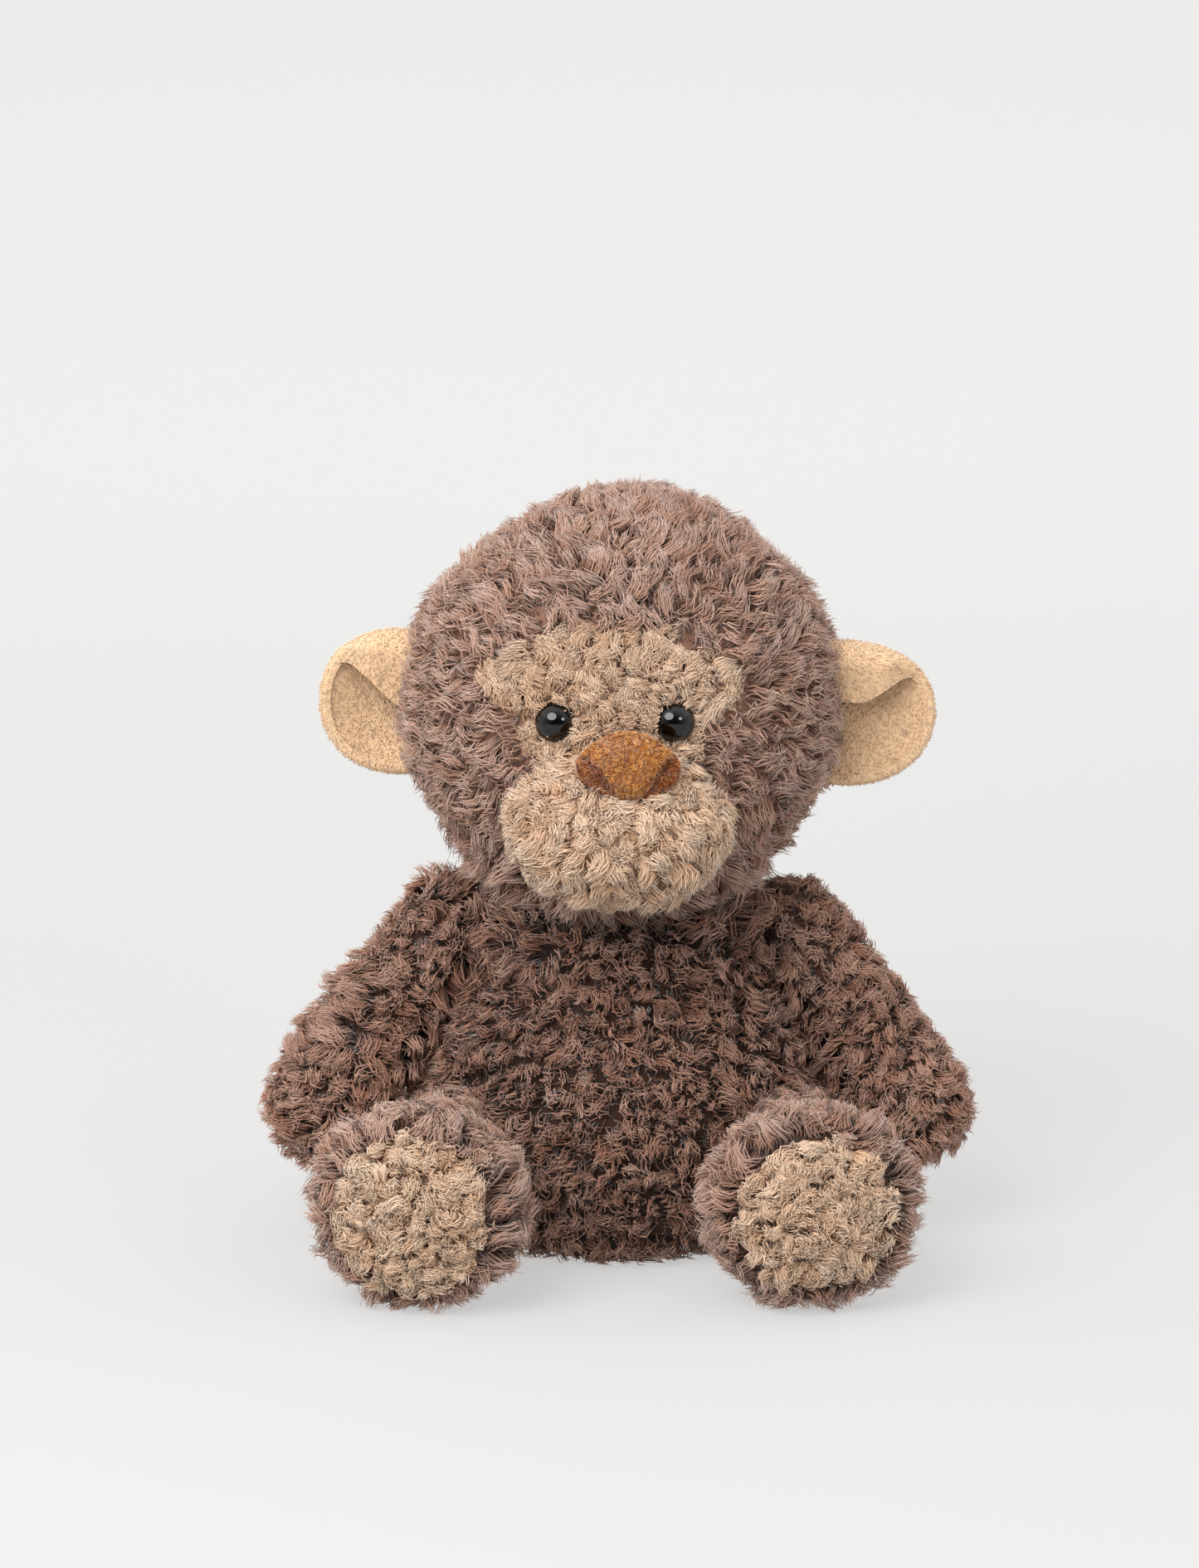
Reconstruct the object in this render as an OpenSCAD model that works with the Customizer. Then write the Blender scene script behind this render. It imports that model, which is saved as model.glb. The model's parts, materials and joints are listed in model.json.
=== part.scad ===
// Sitting plush monkey: sewn fur-fabric covers over fibre filling.
// Millimetres, +Z up, front towards -Y. The origin is the centre of the flat seat.
// Left and right are the toy's own: its left side is +X.

/* [Cover] */
// Thickness of a fur-fabric cover, backing and pile together
pile = 7; // [5:0.5:8]
// Thickness of one layer of ear velour
velour = 2; // [1.5:0.1:2.4]

/* [Head] */
// Radius of the head over its fur
head_r = 65; // [62:0.5:66]
// Height of the middle of the head above the seat
head_z = 157; // [157:0.5:162]
// Sideways lean of the head, as sewn
head_roll = 1.8; // [0:0.1:3]
// Angle over the crown that the gusset spans
gusset_angle = 42; // [30:1:56]
// Half the width of the pale mask around the eyes
mask_half_w = 38; // [34:0.5:40]
// Height of the mask
mask_h = 35; // [28:1:36]

/* [Muzzle and nose] */
// Radius of each cheek of the muzzle
cheek_r = 27; // [24:0.5:28]
// Width of the nose
nose_w = 28.5; // [22:0.5:30]

/* [Eyes] */
// Diameter of an eye
eye_d = 12; // [9:0.5:13]
// Distance between the middles of the eyes
eye_gap = 34; // [30:0.5:38]

/* [Ears] */
// Radius of an ear
ear_r = 22; // [18:0.5:23]

/* [Torso] */
// Largest radius of the belly
belly_r = 61; // [56:0.5:61]
// Height at which the belly is widest
belly_z = 34; // [28:1:35]
// Height of the torso up to the neck seam
torso_h = 99; // [97:0.5:99.5]
// Radius of the flat seat
seat_r = 40; // [36:1:42]

/* [Arms] */
// Radius of an arm at the shoulder
shoulder_r = 13.8; // [12:0.2:13.8]
// Radius of an arm at the hand
hand_r = 17.5; // [15:0.5:17.5]

/* [Legs] */
// Radius of a leg
leg_r = 19.5; // [17:0.5:19.5]
// Radius of a foot
foot_r = 30; // [26:0.5:30]
// Diameter of the pale pad on a sole
pad_d = 45; // [38:1:48]

/* [Hidden] */
$fn = 64;

fur_brown = [0.50, 0.38, 0.33];
fur_light = [0.62, 0.49, 0.43];
fur_beige = [0.80, 0.69, 0.57];
velour_tan = [0.90, 0.77, 0.58];
velour_rust = [0.70, 0.43, 0.20];
fill_white = [0.95, 0.95, 0.93];
thread_brown = [0.35, 0.25, 0.20];

clear = 0.4;            // gap that is left between parts that move on each other
thread = 0.6;           // radius of a sewing thread
seam_gap = 1.8;         // room for a ring of stitches between two moving parts
big = 400;              // larger than the whole toy

// Torso
neck_r = 31;            // radius of the torso at the neck seam
waist_drop = 76;        // height over which the belly would narrow to the neck
bag_r = 16;             // radius of the bean bag
bag_wall = 1;
bag_at = [0, 12, 25];

// Neck: layers around the middle of the head, in the top of the torso
ring_angle = 19;        // half angle of the ring of stitches
plug_angle = 8;         // half angle of the neck filling
plug_t = 3.4;           // thickness of the neck filling
neck_well_r = 25;       // radius of the well that holds them

// Muzzle, as two overlapping cheeks
cheek_x = 7;
muzzle_y = -54;
muzzle_z = 134;
muzzle_pile = 6;
nose_at = [1.5, -72, 150.5];
nose_lean = 42;         // how far the nose leans back from upright
nose_h = 22;
nose_t = 15;
nose_dome = 19;         // radius of the nose's domed face
nose_skin = 1.5;
nose_corner = 7;

// Eyes
eye_z = 163;
eye_shift = -2;         // how far the pair sits off the middle, as sewn
eye_sink = 5;           // how far the middle of an eye lies under the fur tips
shank_r = 1.8;
shank_len = 13;
washer_r = 6.5;
washer_t = 1.5;
washer_gap = 0.1;       // between a washer's rim and the cover

// Mask
mask_z = 173;
mask_x = -1.5;          // how far the mask sits off the middle, as sewn
mask_corner = 14;

// Ears
ear_x = 69;
ear_root_x = 67;        // the seam where an ear meets the head, and the line it folds on
ear_pad = 1.6;
ear_bowl = 46;          // radius of the ear's hollow
ear_dish = 8;           // how far back the middle of the hollow lies
ear_splay = 12;         // how far an ear's face turns outwards

// Arms: from the middle of the shoulder to the middle of the hand
shoulder_at = [51.5, 0, 92];
hand_at = [87, -14, 39];
arm_skin = 5.5;
shoulder_ring_angle = 25;
shoulder_ring_tuck = 0.35; // how far the ring of stitches turns from the torso towards the arm's end
arm_out = [0.826, 0.06, 0.564];   // line that an arm swings about

// Legs: from the hip to the middle of the foot
hip_at = [46, -22, 30];
leg_splay = 8.3;        // degrees that a leg points outwards
leg_len = 70;
ankle_start = 46;       // where the leg begins to widen
ankle_len = 20;         // over what length it widens into the foot
rim_back = 2;           // how far the widest part of the foot lies behind leg_len
sole_bulge = 14;
leg_skin = 6;
hip_ring_angle = 37;
leg_up = 20;            // how far up and down the torso leaves room for a leg
leg_down = 80;
sweep_out = 1.01;       // keeps a faceted arc outside its circle

head_at = [0, 0, head_z];
gusset_from = 90 - gusset_angle / 2;
gusset_to = 90 + gusset_angle / 2;
eye_r = eye_d / 2;

// ---------- helpers ----------

// Radius of the torso's outline at height z
function torso_radius(z) =
    z < belly_z
        ? seat_r + (belly_r - seat_r) * sqrt(max(0, 1 - pow((belly_z - z) / belly_z, 2)))
        : neck_r + (belly_r - neck_r) * (0.5 + 0.5 * cos(180 * (z - belly_z) / waist_drop));

// Outline of the torso from height z0 to the top, drawn in by t
function torso_outline(t, z0) = concat(
    [[0, z0]],
    [for (i = [0 : 18])
        let (z = z0 + (torso_h - z0) * i / 18)
        [torso_radius(z) - t, z]],
    [[0, torso_h]]
);

// Points of an arc about [0, y], from angle a0 to a1 in n steps
function arc(y, r, a0, a1, n) = [for (i = [0 : n])
    let (a = a0 + (a1 - a0) * i / n)
    [max(0, r * cos(a)), y + r * sin(a)]];

// Turns +Z towards direction v
module along(v) {
    rotate([0, acos(v.z / norm(v)), atan2(v.y, v.x)]) children();
}

// Mirrors a left part to the right when side is -1
module on_side(side) {
    if (side > 0) children();
    else mirror([1, 0, 0]) children();
}

// The head's own lean, for everything that is sewn to it
module head_pose() {
    translate(head_at) rotate([0, head_roll, 0]) translate(-head_at) children();
}

module seam_ring(r) {
    rotate_extrude() translate([r, 0]) circle(r = thread);
}

// ---------- torso ----------

// Outline of the space that a leg swings through, seen from the side, as [y, z]
function leg_sweep() =
    let (r = leg_r + seam_gap, c = [hip_at.y, hip_at.z], reach = 2 * head_r)
    concat(
        [c + r * [sin(leg_down), -cos(leg_down)] - reach * [cos(leg_down), sin(leg_down)]],
        [for (i = [0 : 5])
            let (a = leg_down - 90 + (180 - leg_down - leg_up) * i / 5)
            c + r * sweep_out * [cos(a), sin(a)]],
        [c + r * [sin(leg_up), cos(leg_up)] + reach * [-cos(leg_up), sin(leg_up)]],
        [[-2 * reach, -reach]]
    );

// Space that both legs need, over the whole swing about the hips
module leg_space() {
    for (side = [1, -1]) on_side(side)
        translate([hip_at.x - leg_r - seam_gap, 0, 0])
            rotate([90, 0, 90]) linear_extrude(height = big) polygon(leg_sweep());
}

// Hollows in the torso: for the head, for the stitches round the arms, for the legs
module torso_hollows() {
    translate(head_at) sphere(r = head_r + clear);
    for (side = [1, -1]) on_side(side) translate(shoulder_at) sphere(r = shoulder_r + seam_gap);
    leg_space();
}

// Part of the torso's cover, over an angle about the upright axis
module torso_cover(turn, angle) {
    difference() {
        rotate([0, 0, turn]) rotate_extrude(angle = angle) difference() {
            polygon(torso_outline(0, 0));
            polygon(torso_outline(pile, pile));
            square([seat_r, pile]);
            translate([0, torso_h - pile]) square([torso_radius(torso_h) - pile, 2 * pile]);
        }
        torso_hollows();
    }
}

module torso_front_panel() color(fur_brown) torso_cover(180, 180);
module torso_back_panel() color(fur_brown) torso_cover(0, 90);

module torso_base_panel() color(fur_brown) difference() {
    cylinder(r = seat_r, h = pile);
    leg_space();
}

module torso_stuffing() color(fill_white) difference() {
    rotate_extrude() polygon(torso_outline(pile, pile));
    translate(bag_at) sphere(r = bag_r);
    torso_hollows();
    neck_well();
}

module bean_bag() color("ivory") translate(bag_at) difference() {
    sphere(r = bag_r);
    sphere(r = bag_r - bag_wall);
}

module bean_pellets() color("white") translate(bag_at) sphere(r = bag_r - bag_wall);

// ---------- neck ----------

// Well under the head, in the torso's filling
module neck_well() {
    intersection() {
        translate(head_at) sphere(r = head_r + seam_gap + plug_t + 2 * clear);
        cylinder(r = neck_well_r, h = head_z);
    }
}

module neck_stitching() color(thread_brown) {
    layer = head_r + seam_gap / 2;
    translate(head_at + [0, 0, -layer * cos(ring_angle)]) seam_ring(layer * sin(ring_angle));
}

module neck_stuffing() color(fill_white) {
    layer = head_r + seam_gap + clear;
    intersection() {
        difference() {
            translate(head_at) sphere(r = layer + plug_t);
            translate(head_at) sphere(r = layer);
        }
        translate(head_at + [0, 0, -layer - 2 * plug_t])
            cylinder(r = layer * sin(plug_angle), h = layer);
    }
}

// ---------- head ----------

// Lune of the head's shell about the line from face to nape, between two angles from its left
module head_shell(from, to) {
    translate(head_at) rotate([90, 0, 0]) rotate([0, 0, from])
        rotate_extrude(angle = to - from) difference() {
            circle(r = head_r);
            circle(r = head_r - pile);
            translate([-2 * head_r, -head_r]) square([2 * head_r, 2 * head_r]);
        }
}

// Rounded rectangle in front of the face, running back through the cover
module mask_cutter() {
    w = mask_half_w - mask_corner;
    h = mask_h / 2 - mask_corner;
    translate([mask_x, 0, mask_z]) rotate([90, 0, 0]) {
        for (x = [-w, w], z = [-h, h])
            translate([x, z, 0]) cylinder(r = mask_corner, h = head_r + 5);
        translate([-w, -mask_h / 2, 0]) cube([2 * w, mask_h, head_r + 5]);
        translate([-mask_half_w, -h, 0]) cube([2 * mask_half_w, 2 * h, head_r + 5]);
    }
}

module muzzle_form(t) {
    for (side = [1, -1])
        translate([side * cheek_x, muzzle_y, muzzle_z]) sphere(r = cheek_r - t);
}

module head_panel(from, to) color(fur_light) head_pose() difference() {
    head_shell(from, to);
    mask_cutter();
    muzzle_form(0);
}

module head_stuffing() color(fill_white) head_pose() difference() {
    translate(head_at) sphere(r = head_r - pile);
    for (side = [1, -1]) eye_seat(side) {
        sphere(r = eye_r);
        translate([0, 0, -shank_len]) cylinder(r = shank_r, h = shank_len);
        washer_blank();
    }
}

module face_mask() color(fur_beige) head_pose() difference() {
    intersection() {
        difference() {
            translate(head_at) sphere(r = head_r);
            translate(head_at) sphere(r = head_r - pile);
        }
        mask_cutter();
    }
    muzzle_form(0);
    for (side = [1, -1]) eye_seat(side) {
        sphere(r = eye_r);
        translate([0, 0, -shank_len]) cylinder(r = shank_r, h = shank_len);
    }
}

module muzzle_cover() color(fur_beige) head_pose() difference() {
    muzzle_form(0);
    muzzle_form(muzzle_pile);
    translate(head_at) sphere(r = head_r - pile);
    nose_blank(0);
    for (side = [1, -1]) eye_seat(side) sphere(r = eye_r);
}

module muzzle_stuffing() color(fill_white) head_pose() difference() {
    muzzle_form(muzzle_pile);
    translate(head_at) sphere(r = head_r - pile);
    nose_blank(0);
}

// Rounded block that the nose is cut from, drawn in by t
module nose_block(t) {
    w = nose_w / 2 - nose_corner;
    h = nose_h / 2 - nose_corner;
    translate(nose_at) rotate([90 - nose_lean, 0, 0])
        translate([0, 0, -nose_t / 2 + t]) {
            for (x = [-w, w], y = [-h, h])
                translate([x, y, 0]) cylinder(r = nose_corner - t, h = nose_t - 2 * t);
            translate([-w, t - nose_h / 2, 0]) cube([2 * w, nose_h - 2 * t, nose_t - 2 * t]);
            translate([t - nose_w / 2, -h, 0]) cube([nose_w - 2 * t, 2 * h, nose_t - 2 * t]);
        }
}

// The nose: the block, with a domed face
module nose_blank(t) {
    intersection() {
        nose_block(t);
        translate(nose_at) rotate([90 - nose_lean, 0, 0])
            translate([0, 0, nose_t / 2 - nose_dome]) sphere(r = nose_dome - t);
    }
}

module nose_cover() color(velour_rust) head_pose() difference() {
    nose_blank(0);
    nose_blank(nose_skin);
}

module nose_stuffing() color(fill_white) head_pose() nose_blank(nose_skin);

// Places an eye: its middle at the origin, its axis out of the head along +Z
module eye_seat(side) {
    r = head_r - eye_sink;
    x = eye_shift + side * eye_gap / 2;
    z = eye_z - head_z;
    d = [x, -sqrt(r * r - x * x - z * z), z];
    translate(head_at + d) along(d) children();
}

// Disc that a washer is drilled from, with its rim just under the cover
module washer_blank() {
    rim = sqrt(pow(head_r - pile - washer_gap, 2) - washer_r * washer_r);
    translate([0, 0, rim + eye_sink - head_r - washer_t]) cylinder(r = washer_r, h = washer_t);
}

module eye(side) color("black") head_pose() eye_seat(side) {
    sphere(r = eye_r);
    translate([0, 0, -shank_len]) cylinder(r = shank_r, h = shank_len);
}

module eye_washer(side) color("whitesmoke") head_pose() eye_seat(side) difference() {
    washer_blank();
    sphere(r = eye_r);
    translate([0, 0, -shank_len]) cylinder(r = shank_r, h = shank_len);
}

// ---------- ears ----------

// One layer of a dished ear, from depth a to depth b behind its face, outside the head's side
module ear_layer(side, a, b) {
    head_pose() on_side(side) intersection() {
        translate([ear_x, 0, head_z]) rotate([0, 0, ear_splay]) rotate([90, 0, 0])
            intersection() {
                translate([0, 0, ear_bowl - ear_dish]) difference() {
                    sphere(r = ear_bowl + b);
                    sphere(r = ear_bowl + a);
                }
                translate([0, 0, -big / 2]) cylinder(r = ear_r, h = big / 2);
            }
        translate([ear_root_x, -big / 2, 0]) cube([big, big, big]);
    }
}

module ear_lining(side) color(velour_tan) ear_layer(side, 0, velour);
module ear_padding(side) color(fill_white) ear_layer(side, velour, velour + ear_pad);
module ear_back(side) color(velour_tan) ear_layer(side, velour + ear_pad, 2 * velour + ear_pad);

// ---------- arms ----------

arm_way = hand_at - shoulder_at;
arm_len = norm(arm_way);

// Outline of an arm along its length, drawn in by t: two round ends joined by a straight taper
function arm_outline(t) =
    let (tilt = asin((hand_r - shoulder_r) / arm_len))
    concat(
        arc(0, shoulder_r - t, -90, -tilt, 9),
        arc(arm_len, hand_r - t, -tilt, 90, 10)
    );

// Half of an arm's cover, turned about the arm's length
module arm_panel(turn) color(fur_brown)
    translate(shoulder_at) along(arm_way) rotate([0, 0, turn])
        rotate_extrude(angle = 180) difference() {
            polygon(arm_outline(0));
            polygon(arm_outline(arm_skin));
        }

module arm_outer_panel() arm_panel(90);
module arm_inner_panel() arm_panel(-90);

module arm_stuffing() color(fill_white)
    translate(shoulder_at) along(arm_way) rotate_extrude() polygon(arm_outline(arm_skin));

// Ring of thread between the root of the arm and the torso
module shoulder_stitching() color(thread_brown) {
    layer = shoulder_r + seam_gap / 2;
    ring = layer * sin(shoulder_ring_angle);
    way = arm_out + shoulder_ring_tuck * arm_way / arm_len;
    translate(shoulder_at - way / norm(way) * sqrt(layer * layer - ring * ring))
        along(way) seam_ring(ring);
}

// ---------- legs ----------

leg_way = [sin(leg_splay), -cos(leg_splay), 0];

// Outline of a leg along its length, drawn in by t: round hip, straight shank, flared foot, sole
function leg_outline(t) = concat(
    arc(0, leg_r - t, -90, 0, 10),
    [for (i = [1 : 8])
        let (s = i / 8)
        [leg_r - t + (foot_r - leg_r) * (0.5 - 0.5 * cos(180 * s)), ankle_start + ankle_len * s]],
    [for (i = [0 : 9])
        let (a = 10 * i)
        [(foot_r - t) * cos(a), leg_len - rim_back + (sole_bulge - t) * sin(a)]]
);

// Half of a leg's cover, turned about the leg's length, open where the pad is set in
module leg_panel(turn) color(fur_light)
    translate(hip_at) along(leg_way) rotate([0, 0, turn])
        rotate_extrude(angle = 180) difference() {
            polygon(leg_outline(0));
            polygon(leg_outline(leg_skin));
            translate([0, leg_len]) square([pad_d / 2, leg_len]);
        }

module leg_upper_panel() leg_panel(90);
module leg_under_panel() leg_panel(-90);

module leg_stuffing() color(fill_white)
    translate(hip_at) along(leg_way) rotate_extrude() polygon(leg_outline(leg_skin));

module foot_pad() color(fur_beige)
    translate(hip_at) along(leg_way) rotate_extrude() intersection() {
        difference() {
            polygon(leg_outline(0));
            polygon(leg_outline(leg_skin));
        }
        translate([0, leg_len]) square([pad_d / 2, leg_len]);
    }

// Ring of thread between the root of the leg and the torso
module hip_stitching() color(thread_brown) {
    layer = leg_r + seam_gap / 2;
    ring = layer * sin(hip_ring_angle);
    translate(hip_at - leg_way * sqrt(layer * layer - ring * ring))
        along(leg_way) seam_ring(ring);
}

// ---------- nodes ----------

torso_front_panel();
torso_back_panel();  // torso_back_left_panel
on_side(-1) torso_back_panel();  // torso_back_right_panel
torso_base_panel();
torso_stuffing();
bean_bag();
bean_pellets();
neck_stitching();
neck_stuffing();
head_panel(gusset_from, gusset_to);  // head_crown_panel
head_panel(-90, gusset_from);  // head_left_panel
head_panel(gusset_to, 270);  // head_right_panel
head_stuffing();
face_mask();
muzzle_cover();
muzzle_stuffing();
nose_cover();
nose_stuffing();
eye(1);  // eye_left
eye(-1);  // eye_right
eye_washer(1);  // eye_washer_left
eye_washer(-1);  // eye_washer_right
ear_lining(1);  // ear_left_lining
ear_padding(1);  // ear_left_padding
ear_back(1);  // ear_left_back
ear_lining(-1);  // ear_right_lining
ear_padding(-1);  // ear_right_padding
ear_back(-1);  // ear_right_back
shoulder_stitching();  // shoulder_left_stitching
arm_outer_panel();  // arm_left_outer_panel
arm_inner_panel();  // arm_left_inner_panel
arm_stuffing();  // arm_left_stuffing
on_side(-1) shoulder_stitching();  // shoulder_right_stitching
on_side(-1) arm_outer_panel();  // arm_right_outer_panel
on_side(-1) arm_inner_panel();  // arm_right_inner_panel
on_side(-1) arm_stuffing();  // arm_right_stuffing
hip_stitching();  // hip_left_stitching
leg_upper_panel();  // leg_left_upper_panel
leg_under_panel();  // leg_left_under_panel
leg_stuffing();  // leg_left_stuffing
foot_pad();  // foot_left_pad
on_side(-1) hip_stitching();  // hip_right_stitching
on_side(-1) leg_upper_panel();  // leg_right_upper_panel
on_side(-1) leg_under_panel();  // leg_right_under_panel
on_side(-1) leg_stuffing();  // leg_right_stuffing
on_side(-1) foot_pad();  // foot_right_pad
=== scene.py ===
import json
import math

import bpy
import numpy as np
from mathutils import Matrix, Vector

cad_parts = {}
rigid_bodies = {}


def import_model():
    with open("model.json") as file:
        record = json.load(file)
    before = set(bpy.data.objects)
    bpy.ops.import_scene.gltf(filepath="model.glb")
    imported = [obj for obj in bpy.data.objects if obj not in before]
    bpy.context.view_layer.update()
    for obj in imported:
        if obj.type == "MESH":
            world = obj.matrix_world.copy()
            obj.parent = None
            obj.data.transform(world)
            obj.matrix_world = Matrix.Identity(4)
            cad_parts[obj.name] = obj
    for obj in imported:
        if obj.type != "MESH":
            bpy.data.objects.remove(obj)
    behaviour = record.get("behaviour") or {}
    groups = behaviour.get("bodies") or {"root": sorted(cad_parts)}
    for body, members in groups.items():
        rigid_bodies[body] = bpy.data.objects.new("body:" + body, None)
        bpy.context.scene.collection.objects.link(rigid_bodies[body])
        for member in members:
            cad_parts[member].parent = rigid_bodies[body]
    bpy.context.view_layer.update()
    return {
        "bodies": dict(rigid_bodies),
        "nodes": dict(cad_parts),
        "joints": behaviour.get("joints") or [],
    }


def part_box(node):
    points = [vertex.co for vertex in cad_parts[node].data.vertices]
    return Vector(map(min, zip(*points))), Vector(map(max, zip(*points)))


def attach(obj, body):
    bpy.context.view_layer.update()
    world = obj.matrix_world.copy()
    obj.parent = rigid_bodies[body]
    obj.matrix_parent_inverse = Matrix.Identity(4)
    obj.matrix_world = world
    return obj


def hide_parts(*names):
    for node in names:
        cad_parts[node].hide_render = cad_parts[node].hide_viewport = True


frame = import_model()
MM = 0.001


# ---------- places, from the frame ----------

def joint_row(name):
    return [j for j in frame["joints"] if j["name"] == name][0]


def joint(name):
    return np.array(joint_row(name)["pos_m"], float)


def middle(node):
    lo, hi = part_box(node)
    return (np.array(lo) + np.array(hi)) / 2


def span(node):
    lo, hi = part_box(node)
    return np.array(hi) - np.array(lo)


HEAD = joint("neck_turn")
HEAD_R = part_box("head_crown_panel")[1].z - HEAD[2]
ROLL = math.radians(1.8)
MUZZLE_R = span("muzzle_cover")[2] / 2
MUZZLE = middle("muzzle_cover")
MUZZLE[1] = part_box("muzzle_cover")[0].y + MUZZLE_R
CHEEK = span("muzzle_cover")[0] / 2 - MUZZLE_R


def unroll(p):
    """Points in the head's own upright axes, relative to its middle."""
    q = p - HEAD
    c, s = math.cos(ROLL), math.sin(ROLL)
    return np.stack([q[..., 0] * c - q[..., 2] * s, q[..., 1], q[..., 0] * s + q[..., 2] * c], -1)


def roll(q):
    c, s = math.cos(ROLL), math.sin(ROLL)
    return np.stack([q[..., 0] * c + q[..., 2] * s, q[..., 1], -q[..., 0] * s + q[..., 2] * c], -1) + HEAD


# ---------- small maths ----------

def unit(v):
    return v / np.maximum(np.linalg.norm(v, axis=-1, keepdims=True), 1e-9)


def smooth(x, a, b):
    t = np.clip((x - a) / (b - a), 0, 1)
    return t * t * (3 - 2 * t)


def lumps(p, size, seed):
    """Smooth noise from -1 to 1, with features of that size in metres."""
    rng = np.random.default_rng(seed)
    out = np.zeros(len(p))
    for _ in range(7):
        k = unit(rng.normal(size=3)) * (2 * math.pi / size) * rng.uniform(0.6, 1.5)
        out += np.sin(p @ k + rng.uniform(0, 6.28))
    return out / 3.2


def linear(*rgb):
    c = np.array(rgb, float) / 255
    return tuple(np.where(c <= 0.04045, c / 12.92, ((c + 0.055) / 1.055) ** 2.4)) + (1.0,)


# ---------- materials ----------

def nodes_of(name):
    m = bpy.data.materials.new(name)
    m.use_nodes = True
    t = m.node_tree
    return m, t, t.nodes["Principled BSDF"]


def add(tree, kind, **values):
    n = tree.nodes.new(kind)
    for key, value in values.items():
        if key in n.inputs:
            n.inputs[key].default_value = value
        else:
            setattr(n, key, value)
    return n


def fitted(tree, source, to_min, to_max, from_min=0.0, from_max=1.0, kind="LINEAR"):
    """A value carried from one range to another."""
    n = add(tree, "ShaderNodeMapRange", interpolation_type=kind)
    ends = {"From Min": from_min, "From Max": from_max, "To Min": to_min, "To Max": to_max}
    for label, value in ends.items():
        n.inputs[label].default_value = value
    tree.links.new(source, n.inputs["Value"])
    return n.outputs["Result"]


def worked(tree, operation, a, b=None):
    """The result of a Math node, whose inputs are sockets or numbers."""
    n = add(tree, "ShaderNodeMath", operation=operation)
    for i, value in enumerate((a, b)):
        if isinstance(value, float):
            n.inputs[i].default_value = value
        elif value is not None:
            tree.links.new(value, n.inputs[i])
    return n.outputs[0]


def fur_material(name, root, body, tip, warm, sheen=0.4, rough=0.85):
    """Fibres that are dark at the root and light at the tip, each lock a little different. The dark root is
    painted shade, for the shade deep in the pile.
    """
    m, t, b = nodes_of(name)
    along = add(t, "ShaderNodeAttribute", attribute_name="along")
    shade = add(t, "ShaderNodeAttribute", attribute_name="shade")
    # Painted shade: the colour darkens from tip to root, because the pile is shaded between its fibres.
    ramp = add(t, "ShaderNodeValToRGB")
    ramp.color_ramp.elements[0].color = linear(*root)
    ramp.color_ramp.elements[1].color = linear(*tip)
    mid = ramp.color_ramp.elements.new(0.45)
    mid.color = linear(*body)
    t.links.new(along.outputs["Fac"], ramp.inputs["Fac"])
    # Multiplies towards warm by the shade attribute: random tone, plus painted shade where a panel adds it.
    tone_and_painted_shade = add(t, "ShaderNodeMix", data_type="RGBA", blend_type="MULTIPLY")
    tone_and_painted_shade.inputs[7].default_value = linear(*warm)
    t.links.new(shade.outputs["Fac"], tone_and_painted_shade.inputs["Factor"])
    t.links.new(ramp.outputs["Color"], tone_and_painted_shade.inputs[6])
    noise = add(t, "ShaderNodeTexNoise", Scale=900.0, Detail=2.0)
    place = add(t, "ShaderNodeTexCoord")
    t.links.new(place.outputs["Object"], noise.inputs["Vector"])
    fine = fitted(t, noise.outputs["Fac"], 0.86, 1.14)
    last = add(t, "ShaderNodeVectorMath", operation="SCALE")
    t.links.new(tone_and_painted_shade.outputs[2], last.inputs[0])
    t.links.new(fine, last.inputs["Scale"])
    t.links.new(last.outputs["Vector"], b.inputs["Base Color"])
    b.inputs["Roughness"].default_value = rough
    b.inputs["Sheen Weight"].default_value = sheen
    b.inputs["Sheen Roughness"].default_value = 0.4
    b.inputs["Specular IOR Level"].default_value = 0.25
    return m


def cloth_material(name, colour, dark, scale, bump, grain=None):
    """Napped or woven cloth: mottled colour, with a fine raised grain."""
    m, t, b = nodes_of(name)
    place = add(t, "ShaderNodeTexCoord")
    wide = add(t, "ShaderNodeTexNoise", Scale=scale * 0.12, Detail=3.0)
    near = add(t, "ShaderNodeTexNoise", Scale=scale, Detail=4.0, Roughness=0.65)
    t.links.new(place.outputs["Object"], wide.inputs["Vector"])
    t.links.new(place.outputs["Object"], near.inputs["Vector"])
    both = worked(t, "ADD", wide.outputs["Fac"], near.outputs["Fac"])
    mix = add(t, "ShaderNodeMix", data_type="RGBA")
    mix.inputs[6].default_value = linear(*dark)
    mix.inputs[7].default_value = linear(*colour)
    t.links.new(fitted(t, both, 0.0, 1.0, 0.7, 1.3), mix.inputs["Factor"])
    t.links.new(mix.outputs[2], b.inputs["Base Color"])
    height = near.outputs["Fac"]
    if grain:
        wave = add(t, "ShaderNodeTexWave", Scale=grain, Distortion=6.0, Detail=3.0)
        wave.inputs["Detail Scale"].default_value = 2.0
        t.links.new(place.outputs["Object"], wave.inputs["Vector"])
        height = worked(t, "ADD", wave.outputs["Fac"], near.outputs["Fac"])
    raise_ = add(t, "ShaderNodeBump", Strength=0.6, Distance=bump)
    t.links.new(height, raise_.inputs["Height"])
    t.links.new(raise_.outputs["Normal"], b.inputs["Normal"])
    b.inputs["Roughness"].default_value = 0.85
    b.inputs["Specular IOR Level"].default_value = 0.2
    return m


def plastic_material(name, colour, rough):
    """Moulded plastic whose gloss varies a little."""
    m, t, b = nodes_of(name)
    place = add(t, "ShaderNodeTexCoord")
    noise = add(t, "ShaderNodeTexNoise", Scale=200.0, Detail=2.0)
    t.links.new(place.outputs["Object"], noise.inputs["Vector"])
    t.links.new(fitted(t, noise.outputs["Fac"], rough * 0.7, rough * 1.3), b.inputs["Roughness"])
    b.inputs["Base Color"].default_value = linear(*colour)
    return m


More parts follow.
